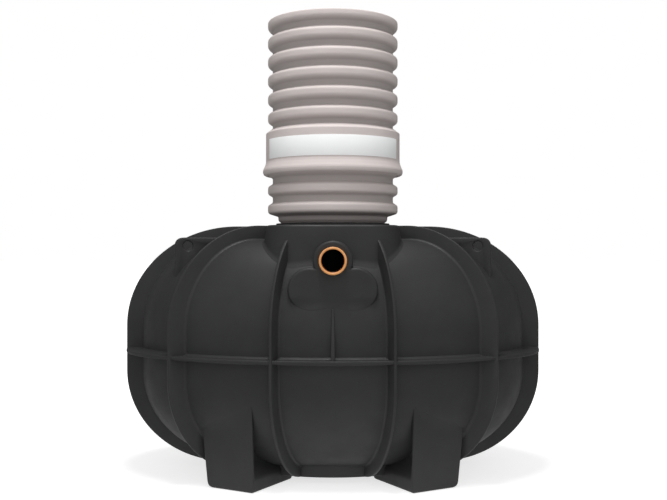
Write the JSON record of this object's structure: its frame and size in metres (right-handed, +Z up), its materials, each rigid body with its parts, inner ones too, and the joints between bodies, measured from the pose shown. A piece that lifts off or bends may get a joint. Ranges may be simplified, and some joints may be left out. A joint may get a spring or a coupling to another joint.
{
  "type": "stormwater detention tank",
  "caption": "Ribbed elongated underground tank on feet, with a corrugated access riser, an inlet pipe stub on the front and lifting lugs.",
  "frame": {"origin": "on the ground under the middle of the tank", "axes": "+Z up, X along the tank, the inlet side faces -Y"},
  "size_m": [1.933, 1.126, 2.0834],
  "materials": {
    "tank_plastic": "black moulded polyethylene, satin",
    "riser_plastic": "beige grey corrugated plastic pipe, matt",
    "label_film": "blank white film",
    "pipe_plastic": "orange brown drain pipe",
    "seal_rubber": "black rubber seal"
  },
  "bodies": {
    "root": {"upper_shell": "tank_plastic", "lower_shell": "tank_plastic", "equator_rib": "tank_plastic", "upper_rib_right": "tank_plastic", "upper_rib_back_right_outer": "tank_plastic", "upper_rib_back_right_inner": "tank_plastic", "upper_rib_back_left_inner": "tank_plastic", "upper_rib_back_left_outer": "tank_plastic", "upper_rib_left": "tank_plastic", "upper_rib_front_left_outer": "tank_plastic", "upper_rib_front_left_inner": "tank_plastic", "upper_rib_front_right_inner": "tank_plastic", "upper_rib_front_right_outer": "tank_plastic", "lower_rib_right": "tank_plastic", "lower_rib_back_right_outer": "tank_plastic", "lower_rib_back_right_inner": "tank_plastic", "lower_rib_back_left_inner": "tank_plastic", "lower_rib_back_left_outer": "tank_plastic", "lower_rib_left": "tank_plastic", "lower_rib_front_left_outer": "tank_plastic", "lower_rib_front_left_inner": "tank_plastic", "lower_rib_front_right_inner": "tank_plastic", "lower_rib_front_right_outer": "tank_plastic", "neck_housing": "tank_plastic", "front_pipe_pad": "tank_plastic", "back_pipe_pad": "tank_plastic", "front_gusset": "tank_plastic", "back_gusset": "tank_plastic", "lifting_lug_front_left": "tank_plastic", "lifting_lug_front_right": "tank_plastic", "lifting_lug_back_left": "tank_plastic", "lifting_lug_back_right": "tank_plastic", "foot_front_left": "tank_plastic", "foot_front_right": "tank_plastic", "foot_back_left": "tank_plastic", "foot_back_right": "tank_plastic", "base_plinth": "tank_plastic", "riser_lower": "riser_plastic", "riser_upper": "riser_plastic", "riser_seal": "seal_rubber", "label_band": "label_film", "inlet_pipe": "pipe_plastic"}
  },
  "joints": []
}
